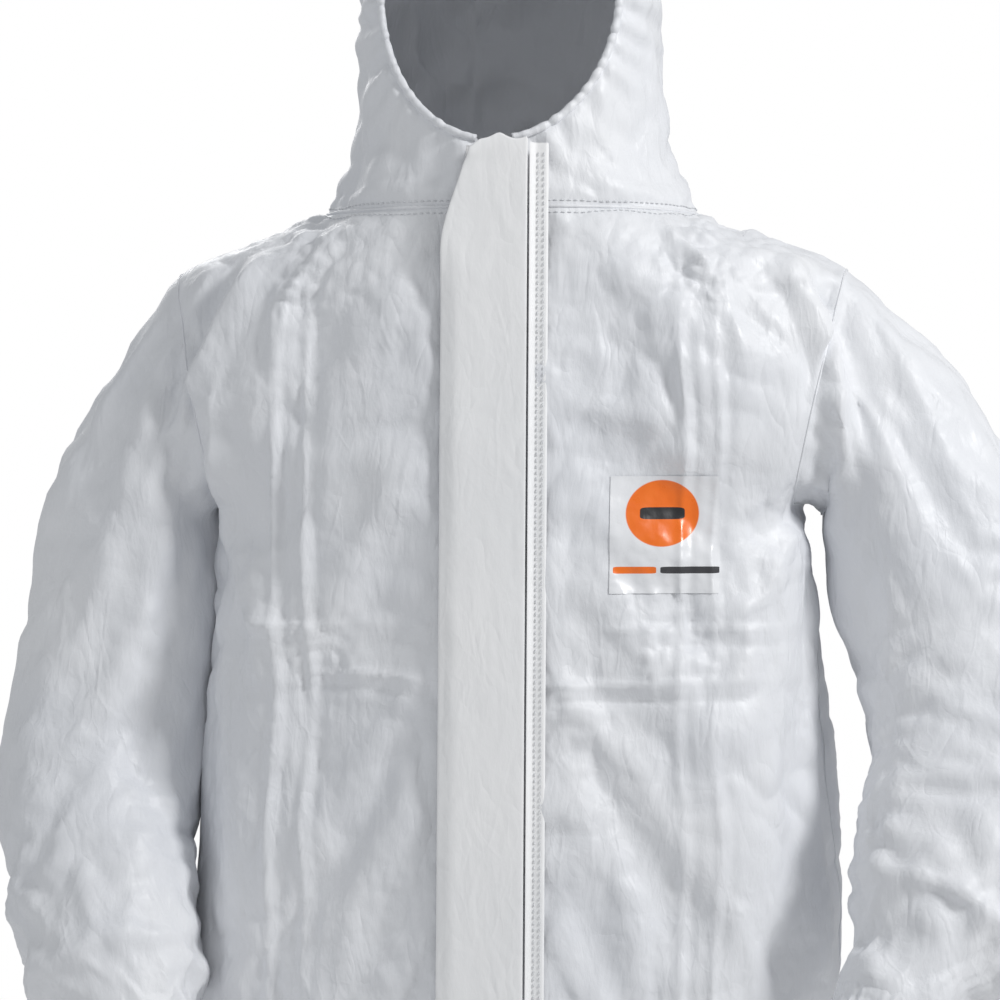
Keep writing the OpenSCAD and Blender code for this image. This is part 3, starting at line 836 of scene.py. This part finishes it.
body_seams = [seam_line("back_seam", [(0, 170, z) for z in np.linspace(-8, -695, 220)])]
for side in (1, -1):
    body_seams.append(seam_line(f"side_seam{side}", [(side * 248, 0, z) for z in np.linspace(-262, -698, 150)]))
body_seams = joined("body_seams", body_seams)
facing_stitches = joined("facing_stitches", [
    stitches("a", [zip_point(38.6, -2.35, z) for z in np.linspace(FLAP_END + 4, FLAP_TOP - 14, 200)], 4.6, 3.0, 0.36),
    stitches("b", [zip_point(34.2, -2.45, z) for z in np.linspace(FLAP_END + 4, FLAP_TOP - 14, 200)], 4.6, 3.0, 0.36)])


# ---------- chest patch ----------

low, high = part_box("chest_patch")
front_left = panels["body_left_front"]
chest_tree = BVHTree.FromPolygons([v.co for v in front_left.data.vertices],
                                  [list(p.vertices) for p in front_left.data.polygons])
patch_rows = []
for z in np.linspace(low[2] * 1000, high[2] * 1000, 72):
    row = []
    for x in np.linspace(low[0] * 1000, high[0] * 1000, 66):
        hit = chest_tree.ray_cast(Vector((x, -320, z)) * MM, Vector((0, 1, 0)))[0]
        row.append((x, hit.y * 1000, z))
    patch_rows.append(row)
ys = np.array(patch_rows)[:, :, 1]
for _ in range(6):
    pad = np.pad(ys, 1, mode="edge")
    ys = np.minimum(ys, (pad[:-2, 1:-1] + pad[2:, 1:-1] + pad[1:-1, :-2] + pad[1:-1, 2:]) / 4) * 0.5 + ys * 0.5
patch = grid_object("chest_patch_film", [[(p[0], y - 0.7, p[2]) for p, y in zip(row, yrow)]
                                         for row, yrow in zip(patch_rows, ys)])
patch_mid = ((low[0] + high[0]) / 2, (low[2] + high[2]) / 2)


# ---------- materials ----------

class Nodes:
    """Short way to write a node material."""

    def __init__(self, name, color, roughness, **sockets):
        self.mat = bpy.data.materials.new(name)
        self.mat.use_nodes = True
        self.tree = self.mat.node_tree
        self.shader = self.tree.nodes["Principled BSDF"]
        self.shader.inputs["Base Color"].default_value = (*color, 1)
        self.shader.inputs["Roughness"].default_value = roughness
        for key, value in sockets.items():
            self.shader.inputs[key.replace("_", " ")].default_value = value
        self.coord = self.tree.nodes.new("ShaderNodeTexCoord").outputs["Object"]

    def add(self, kind, links=None, **values):
        node = self.tree.nodes.new("ShaderNode" + kind)
        for key, value in values.items():
            setattr(node, key, value)
        for key, value in (links or {}).items():
            socket = node.inputs[key]
            if isinstance(value, bpy.types.NodeSocket):
                self.tree.links.new(value, socket)
            else:
                socket.default_value = value
        return node

    def stretched(self, x, y, z):
        return self.add("Mapping", {"Vector": self.coord, "Scale": (x, y, z)}).outputs[0]

    def noise(self, scale, detail=3.0, rough=0.55, vector=None, distortion=0.0):
        return self.add("TexNoise", {"Vector": vector or self.coord, "Scale": scale, "Detail": detail,
                                     "Roughness": rough, "Distortion": distortion}).outputs["Fac"]

    def cells(self, scale, vector=None):
        return self.add("TexVoronoi", {"Vector": vector or self.coord, "Scale": scale},
                        feature="DISTANCE_TO_EDGE").outputs["Distance"]

    def math(self, op, a, b=0.0):
        return self.add("Math", {0: a, 1: b}, operation=op).outputs[0]

    def ramp(self, value, low, high, a, b):
        node = self.add("MapRange", {"Value": value, "From Min": low, "From Max": high, "To Min": a, "To Max": b})
        return node.outputs[0]

    def mix(self, factor, a, b):
        node = self.add("Mix", {"Factor": factor}, data_type="RGBA")
        for socket, value in ((6, a), (7, b)):
            if isinstance(value, bpy.types.NodeSocket):
                self.tree.links.new(value, node.inputs[socket])
            else:
                node.inputs[socket].default_value = (*value, 1)
        return node.outputs[2]

    def warped(self, amount, scale, vector=None):
        """Coordinates pushed about by a soft noise, so cells don't look regular."""
        push = self.add("TexNoise", {"Vector": vector or self.coord, "Scale": scale, "Detail": 2.0}).outputs["Color"]
        scaled = self.add("VectorMath", {0: push, "Scale": amount}, operation="SCALE").outputs[0]
        return self.add("VectorMath", {0: vector or self.coord, 1: scaled}, operation="ADD").outputs[0]

    def color(self, socket):
        self.tree.links.new(socket, self.shader.inputs["Base Color"])

    def rough(self, socket):
        self.tree.links.new(socket, self.shader.inputs["Roughness"])

    def bump(self, socket, distance, strength=1.0):
        node = self.add("Bump", {"Height": socket, "Distance": distance, "Strength": strength})
        self.tree.links.new(node.outputs[0], self.shader.inputs["Normal"])


def film_material(name, dark, light, crinkle=1.0):
    """Microporous film laminate: satin skin, fine emboss, crinkles and the sharp lines of creased film."""
    m = Nodes(name, light, 0.5, Specular_IOR_Level=0.4, Coat_Weight=0.05, Coat_Roughness=0.4)
    long = m.stretched(1.0, 1.0, 0.45)
    soft = m.noise(26, 5, 0.6, long, 0.3)
    crease = m.ramp(m.cells(26, m.warped(0.08, 14, long)), 0.0, 0.07, 1.0, 0.0)
    fine = m.ramp(m.cells(80, m.warped(0.03, 40, long)), 0.0, 0.12, 1.0, 0.0)
    swell = m.math("ABSOLUTE", m.math("SUBTRACT", m.noise(38, 2, 0.5, long, 0.6), 0.5))
    patchy = m.ramp(m.noise(9, 2), 0.42, 0.62, 0.0, 1.0)
    emboss = m.noise(1500, 1)
    height = m.math("MULTIPLY", soft, 1.6)
    height = m.math("ADD", height, m.math("MULTIPLY", m.math("MULTIPLY", crease, patchy), 0.2))
    height = m.math("ADD", height, m.math("MULTIPLY", swell, 2.2))
    height = m.math("ADD", height, m.math("MULTIPLY", m.math("MULTIPLY", fine, patchy), 0.09))
    height = m.math("ADD", height, m.math("MULTIPLY", emboss, 0.05))
    m.bump(height, 0.0017 * crinkle, 0.85)
    worn = m.ramp(m.noise(60, 4, 0.6), 0.35, 0.7, 0.42, 0.60)
    m.rough(m.math("SUBTRACT", worn, m.math("MULTIPLY", crease, 0.06)))
    m.color(m.mix(m.ramp(m.noise(5, 3), 0.35, 0.65, 0.0, 1.0), dark, light))
    return m.mat


def elastic_material(name):
    m = Nodes(name, (0.82, 0.82, 0.80), 0.7)
    weave = m.add("TexWave", {"Vector": m.coord, "Scale": 190.0, "Distortion": 1.5, "Detail": 2.0}).outputs["Fac"]
    ribs = m.cells(650)
    m.bump(m.math("ADD", weave, m.math("MULTIPLY", ribs, 0.6)), 0.0004, 0.8)
    m.color(m.mix(weave, (0.70, 0.70, 0.67), (0.86, 0.86, 0.84)))
    return m.mat


def cloth_tape_material(name):
    m = Nodes(name, (0.88, 0.88, 0.88), 0.75)
    warp = m.add("TexWave", {"Vector": m.coord, "Scale": 260.0}, bands_direction="X").outputs["Fac"]
    weft = m.add("TexWave", {"Vector": m.coord, "Scale": 260.0}, bands_direction="Z").outputs["Fac"]
    weave = m.math("MULTIPLY", warp, weft)
    m.bump(weave, 0.0003, 0.9)
    m.color(m.mix(weave, (0.78, 0.78, 0.79), (0.90, 0.90, 0.90)))
    return m.mat


def plastic_material(name, color, roughness):
    m = Nodes(name, color, roughness, Specular_IOR_Level=0.5)
    m.rough(m.ramp(m.noise(300, 3), 0.3, 0.7, roughness - 0.07, roughness + 0.1))
    m.bump(m.noise(700, 2), 0.0001, 0.5)
    m.color(m.mix(m.noise(40, 2), tuple(0.9 * c for c in color), color))
    return m.mat


def thread_material(name):
    m = Nodes(name, (0.85, 0.86, 0.88), 0.6, Sheen_Weight=0.3)
    twist = m.add("TexWave", {"Vector": m.coord, "Scale": 900.0}, bands_direction="DIAGONAL").outputs["Fac"]
    m.bump(twist, 0.0002, 0.7)
    m.color(m.mix(twist, (0.70, 0.72, 0.75), (0.88, 0.89, 0.91)))
    return m.mat


def patch_material(name):
    """Clear glossy sticker with a plain round mark and two plain bars, all by position on the chest."""
    m = Nodes(name, (0.82, 0.83, 0.85), 0.3, Coat_Weight=0.25, Coat_Roughness=0.2)
    split_xyz = m.add("SeparateXYZ", {"Vector": m.coord})
    x = m.math("SUBTRACT", split_xyz.outputs["X"], patch_mid[0])
    z = m.math("SUBTRACT", split_xyz.outputs["Z"], patch_mid[1])

    def inside(cx, cz, half_x, half_z, power):
        """1 within a rounded shape, 0 outside it."""
        a = m.math("POWER", m.math("ABSOLUTE", m.math("DIVIDE", m.math("SUBTRACT", x, cx), half_x)), power)
        b = m.math("POWER", m.math("ABSOLUTE", m.math("DIVIDE", m.math("SUBTRACT", z, cz), half_z)), power)
        return m.ramp(m.math("ADD", a, b), 0.97, 1.03, 1.0, 0.0)

    base = m.mix(m.noise(30, 2), (0.77, 0.78, 0.81), (0.82, 0.83, 0.85))
    orange = m.mix(m.noise(90, 3), (0.86, 0.15, 0.008), (0.95, 0.20, 0.015))
    c = m.mix(inside(-0.002, 0.016, 0.027, 0.025, 2.0), base, orange)
    c = m.mix(inside(-0.002, 0.016, 0.0165, 0.0045, 6.0), c, (0.02, 0.02, 0.022))
    c = m.mix(inside(-0.022, -0.0265, 0.016, 0.0026, 8.0), c, orange)
    c = m.mix(inside(0.019, -0.0265, 0.022, 0.0026, 8.0), c, (0.05, 0.05, 0.055))
    m.color(c)
    ripple = m.noise(55, 3, 0.5, m.stretched(1, 1, 0.5))
    m.bump(m.math("ADD", ripple, m.math("MULTIPLY", m.noise(240, 2), 0.15)), 0.0012, 0.5)
    m.rough(m.ramp(m.noise(80, 3), 0.3, 0.7, 0.24, 0.4))
    return m.mat


FILM = film_material("film", (0.74, 0.755, 0.79), (0.80, 0.81, 0.835))
FLAP_FILM = film_material("flap_film", (0.86, 0.865, 0.875), (0.90, 0.90, 0.905), 0.55)
ELASTIC = elastic_material("elastic")
ZIP_TAPE = cloth_tape_material("zip_tape")
ZIP_PLASTIC = plastic_material("zip_plastic", (0.84, 0.84, 0.85), 0.32)
ADHESIVE = plastic_material("adhesive_tape", (0.74, 0.77, 0.80), 0.22)
THREAD = thread_material("thread")
PATCH = patch_material("patch")
LABEL = cloth_tape_material("label")


# ---------- what rides on what ----------

def finish_piece(o, material, slot, nodes=(), body=None, blend=None):
    o.data.materials.clear()
    o.data.materials.append(material)
    if nodes:
        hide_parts(*nodes)
    if body:
        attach(o, body)
    else:
        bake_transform(o)


root = {"body": "root"}
for key, nodes in (("body_left_front", ["front_left_panel", "crotch_gusset"]),
                   ("body_right_front", ["front_right_panel"]),
                   ("body_left_back", ["back_left_panel"]), ("body_right_back", ["back_right_panel"])):
    finish_piece(panels[key], FILM, "film", nodes, **root)

hood_bend = {"blend": ("root", "hood", (0, 0.0053, 0.0255), (0, 0.051, 0.245))}
finish_piece(panels["hood_left"], FILM, "film", ["hood_left_panel"], **hood_bend)
finish_piece(panels["hood_right"], FILM, "film", ["hood_right_panel"], **hood_bend)
finish_piece(panels["hood_centre"], FILM, "film", ["hood_centre_panel"], **hood_bend)
finish_piece(face_hem, FILM, "film", ["face_hem", "face_elastic"], **hood_bend)

for name, side in (("left", 1), ("right", -1)):
    start = Vector((side * ARMPIT[0], 0, ARMPIT[1])) * MM
    end = start + Vector((side * 0.9, 0, -0.436)) * 0.09
    finish_piece(sleeves[name], FILM, "film", [f"sleeve_{name}_front_panel", f"sleeve_{name}_back_panel"],
                 blend=("root", "arm_" + name, tuple(start), tuple(end)))
    finish_piece(cuffs["wrist_" + name], FILM, "film", ["wrist_hem_" + name], body="arm_" + name)
    finish_piece(cuffs["ankle_" + name], FILM, "film", ["ankle_hem_" + name], body="leg_" + name)
    for face in ("front", "back"):
        finish_piece(panels[f"leg_{name}_{face}"], FILM, "film", [f"leg_{name}_{face}_panel"],
                     blend=("root", "leg_" + name, (0, 0, LEG_TOP_Z * MM), (0, 0, -0.86)))
    finish_piece(armhole_welts[name], FILM, "film", **root)

finish_piece(flap, FLAP_FILM, "flap_film", ["storm_flap"], body="flap")
finish_piece(flap_tape, ADHESIVE, "adhesive_tape", ["flap_tape"], body="flap")
finish_piece(facing, FLAP_FILM, "flap_film", ["flap_facing"], **root)
finish_piece(patch, PATCH, "patch", ["chest_patch"], **root)
for o in (neck_welt, body_seams):
    finish_piece(o, FILM, "film", **root)
for o in (neck_stitches, hood_stitches, facing_stitches):
    finish_piece(o, THREAD, "film", **root)

kept = {"wrist_elastic_left": ELASTIC, "wrist_elastic_right": ELASTIC, "ankle_elastic_left": ELASTIC,
        "ankle_elastic_right": ELASTIC, "waist_elastic": ELASTIC, "zip_tape_left": ZIP_TAPE,
        "zip_tape_right": ZIP_TAPE, "zip_chain_left": ZIP_PLASTIC, "zip_chain_right": ZIP_PLASTIC,
        "zip_slider": ZIP_PLASTIC, "zip_pull_tab": ZIP_PLASTIC, "zip_top_stops": ZIP_PLASTIC,
        "zip_bottom_stop": ZIP_PLASTIC, "size_label": LABEL}
for node, material in kept.items():
    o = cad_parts[node]
    o.data.materials.clear()
    o.data.materials.append(material)


# ---------- floor, light and camera ----------

def plain_material(name, color, roughness):
    m = Nodes(name, color, roughness)
    m.color(m.mix(m.noise(3, 2), tuple(0.985 * c for c in color), color))
    return m.mat


floor = loft("floor", [[(4200 * cos(a), 4200 * sin(a), z) for a in np.linspace(0, 2 * pi, 96, endpoint=False)]
                       for z in (SUIT_END_Z - 14, SUIT_END_Z - 4)])
floor.data.materials.append(plain_material("floor", (0.86, 0.86, 0.86), 0.7))

world = bpy.data.worlds.new("studio")
scene.world = world
world.use_nodes = True
background = world.node_tree.nodes["Background"]
background.inputs["Color"].default_value = (0.97, 0.985, 1.0, 1)
background.inputs["Strength"].default_value = 0.40
seen = world.node_tree.nodes.new("ShaderNodeBackground")
seen.inputs["Color"].default_value = (1, 1, 1, 1)
both = world.node_tree.nodes.new("ShaderNodeMixShader")
rays = world.node_tree.nodes.new("ShaderNodeLightPath")
links = world.node_tree.links
links.new(rays.outputs["Is Camera Ray"], both.inputs[0])
links.new(background.outputs[0], both.inputs[1])
links.new(seen.outputs[0], both.inputs[2])
links.new(both.outputs[0], world.node_tree.nodes["World Output"].inputs["Surface"])


def area_light(name, at, aim, size, watts, color=(1, 1, 1)):
    light = bpy.data.lights.new(name, "AREA")
    light.size, light.energy, light.color = size, watts, color
    o = bpy.data.objects.new(name, light)
    scene.collection.objects.link(o)
    o.location = at
    o.rotation_euler = (Vector(aim) - Vector(at)).to_track_quat("-Z", "Y").to_euler()


area_light("key", (2.4, -1.25, 1.5), (0, 0, -0.3), 0.6, 62)
area_light("fill", (-2.4, -1.9, 0.7), (0, 0, -0.4), 1.8, 12, (0.94, 0.97, 1))
area_light("back", (-1.2, 2.6, 1.4), (0, 0, -0.4), 1.6, 30)

lens = bpy.data.cameras.new("camera")
lens.lens, lens.sensor_width = 120, 36
camera = bpy.data.objects.new("camera", lens)
scene.collection.objects.link(camera)
aim = Vector((0.0063, -0.130, -0.221))
azimuth, elevation, distance = radians(7), radians(1), 2.5
ahead = Vector((sin(azimuth) * cos(elevation), -cos(azimuth) * cos(elevation), sin(elevation)))
camera.location = aim + distance * ahead
camera.rotation_euler = (aim - camera.location).to_track_quat("-Z", "Y").to_euler()
scene.camera = camera
scene.view_settings.view_transform = "Standard"
